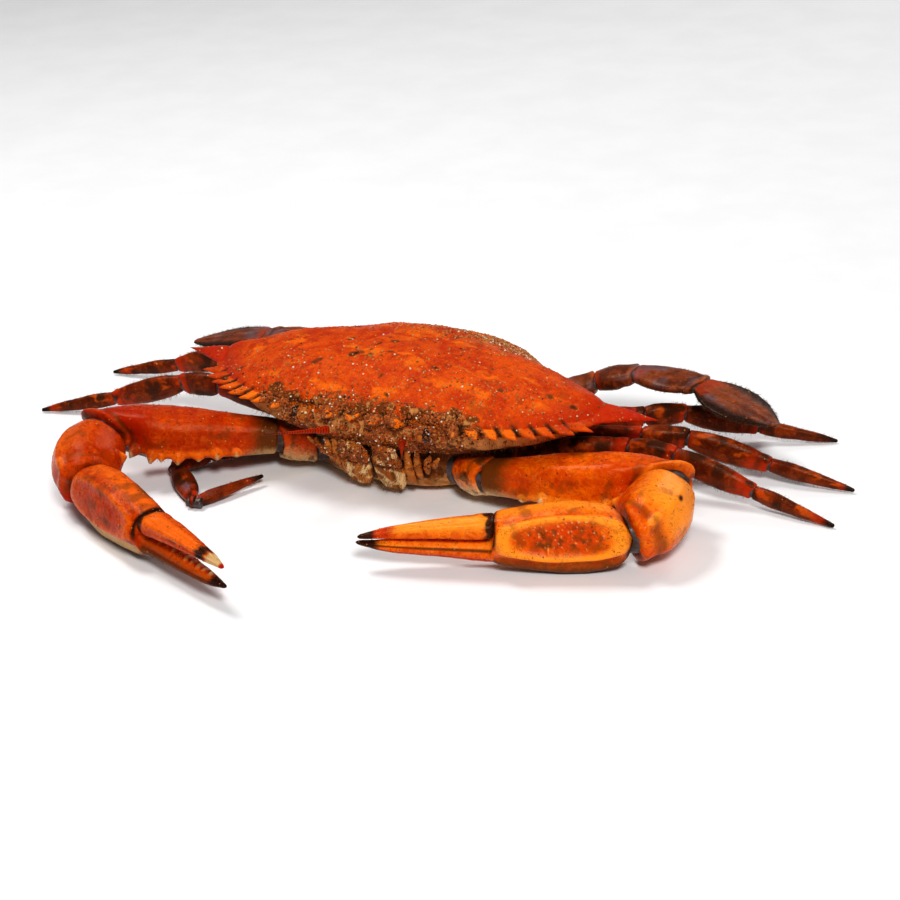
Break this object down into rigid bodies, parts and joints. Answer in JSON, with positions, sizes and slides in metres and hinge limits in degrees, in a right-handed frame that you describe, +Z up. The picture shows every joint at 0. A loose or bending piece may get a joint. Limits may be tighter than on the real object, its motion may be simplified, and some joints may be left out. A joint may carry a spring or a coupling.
{
  "type": "cooked crab",
  "caption": "Whole steamed swimming crab resting on its belly, wide spiny shell, both claws folded forward, seasoned with coarse spice.",
  "frame": {"origin": "middle of the flat of the belly, on the surface the crab rests on", "axes": "+Z up; -Y the way the face points; +X the crab's left side, along the line between the tips of the two lateral spines"},
  "size_m": [0.2728, 0.1619, 0.0414],
  "materials": {
    "carapace": "granular orange-red cooked shell",
    "claw": "smooth orange shell with brown grooves and dark finger tips",
    "leg": "dark red-brown shell, orange at the joints",
    "paddle": "thin brown shell with a dark edge",
    "belly": "cream shell stained brown",
    "mouth": "brown hairy shell",
    "eye": "black, wet"
  },
  "bodies": {
    "root": {"abdomen": "belly", "antenna_left": "leg", "antenna_right": "leg", "carapace": "carapace", "claw_left_carpus": "claw", "claw_left_dactylus": "claw", "claw_left_ischium": "claw", "claw_left_merus": "claw", "claw_left_propodus": "claw", "claw_right_carpus": "claw", "claw_right_dactylus": "claw", "claw_right_ischium": "claw", "claw_right_merus": "claw", "claw_right_propodus": "claw", "eye_left": "eye", "eye_right": "eye", "leg2_left_carpus": "leg", "leg2_left_dactylus": "leg", "leg2_left_ischium": "leg", "leg2_left_merus": "leg", "leg2_left_propodus": "leg", "leg2_right_carpus": "leg", "leg2_right_dactylus": "leg", "leg2_right_ischium": "leg", "leg2_right_merus": "leg", "leg2_right_propodus": "leg", "leg3_left_carpus": "leg", "leg3_left_dactylus": "leg", "leg3_left_ischium": "leg", "leg3_left_merus": "leg", "leg3_left_propodus": "leg", "leg3_right_carpus": "leg", "leg3_right_dactylus": "leg", "leg3_right_ischium": "leg", "leg3_right_merus": "leg", "leg3_right_propodus": "leg", "leg4_left_carpus": "leg", "leg4_left_dactylus": "leg", "leg4_left_ischium": "leg", "leg4_left_merus": "leg", "leg4_left_propodus": "leg", "leg4_right_carpus": "leg", "leg4_right_dactylus": "leg", "leg4_right_ischium": "leg", "leg4_right_merus": "leg", "leg4_right_propodus": "leg", "mouthpart_left": "mouth", "mouthpart_right": "mouth", "swimmer_left_carpus": "leg", "swimmer_left_dactylus": "paddle", "swimmer_left_ischium": "leg", "swimmer_left_merus": "leg", "swimmer_left_propodus": "leg", "swimmer_right_carpus": "leg", "swimmer_right_dactylus": "paddle", "swimmer_right_ischium": "leg", "swimmer_right_merus": "leg", "swimmer_right_propodus": "leg", "thorax": "belly"}
  },
  "joints": []
}
